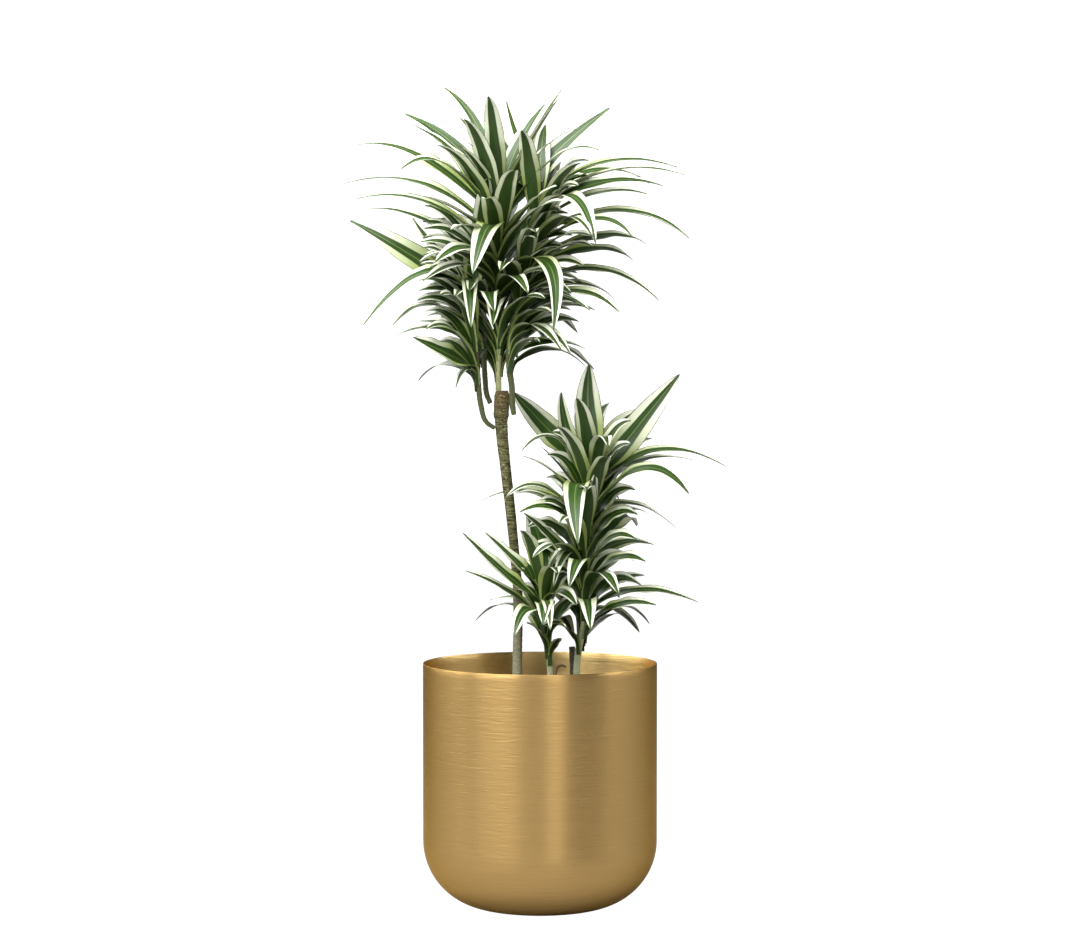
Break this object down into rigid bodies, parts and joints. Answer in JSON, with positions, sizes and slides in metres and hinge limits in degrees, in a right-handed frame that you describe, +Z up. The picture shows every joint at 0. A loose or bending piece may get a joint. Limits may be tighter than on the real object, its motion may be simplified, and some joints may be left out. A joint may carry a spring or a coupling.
{
  "type": "potted dracaena",
  "caption": "Variegated dracaena with a tall bare cane, a middle shoot and a small shoot, growing in a round-bottomed golden metal planter.",
  "frame": {"origin": "centre of the flat underside of the planter", "axes": "+Z up along the planter's axis, -Y towards the front of the plant, +X to its right"},
  "size_m": [0.612, 0.3695, 1.235],
  "materials": {
    "planter_metal": "brushed all round, satin, clear lacquered",
    "soil": "moist dark potting mix with bark crumbs",
    "cane_bark": "grey-green bark with ring scars and pale flecks",
    "green_stem": "smooth young stem, satin",
    "leaf": "waxy satin leaf, dark green centre with cream bands near both edges"
  },
  "bodies": {
    "root": {"planter_shell": "planter_metal", "potting_soil": "soil", "tall_cane": "cane_bark", "stump": "cane_bark", "aerial_root": "cane_bark", "top_shoot": "green_stem", "right_shoot": "green_stem", "left_shoot": "green_stem", "outer_shoot": "green_stem", "middle_shoot": "green_stem", "small_shoot": "green_stem", "top_shoot_leaves_1": "leaf", "top_shoot_leaves_2": "leaf", "top_shoot_leaves_3": "leaf", "top_shoot_leaves_4": "leaf", "top_shoot_leaves_5": "leaf", "top_shoot_leaves_6": "leaf", "top_shoot_leaves_7": "leaf", "top_shoot_leaves_8": "leaf", "top_shoot_leaves_9": "leaf", "top_shoot_leaves_10": "leaf", "top_shoot_leaves_11": "leaf", "right_shoot_leaves_1": "leaf", "right_shoot_leaves_2": "leaf", "right_shoot_leaves_3": "leaf", "right_shoot_leaves_4": "leaf", "right_shoot_leaves_5": "leaf", "right_shoot_leaves_6": "leaf", "right_shoot_leaves_7": "leaf", "right_shoot_leaves_8": "leaf", "right_shoot_leaves_9": "leaf", "left_shoot_leaves_1": "leaf", "left_shoot_leaves_2": "leaf", "left_shoot_leaves_3": "leaf", "outer_shoot_leaves_1": "leaf", "outer_shoot_leaves_2": "leaf", "outer_shoot_leaves_3": "leaf", "middle_shoot_leaves_1": "leaf", "middle_shoot_leaves_2": "leaf", "middle_shoot_leaves_3": "leaf", "middle_shoot_leaves_4": "leaf", "middle_shoot_leaves_5": "leaf", "middle_shoot_leaves_6": "leaf", "middle_shoot_leaves_7": "leaf", "middle_shoot_leaves_8": "leaf", "middle_shoot_leaves_9": "leaf", "middle_shoot_leaves_10": "leaf", "middle_shoot_leaves_11": "leaf", "middle_shoot_leaves_12": "leaf", "small_shoot_leaves_1": "leaf", "small_shoot_leaves_2": "leaf", "small_shoot_leaves_3": "leaf", "small_shoot_leaves_4": "leaf"}
  },
  "joints": []
}
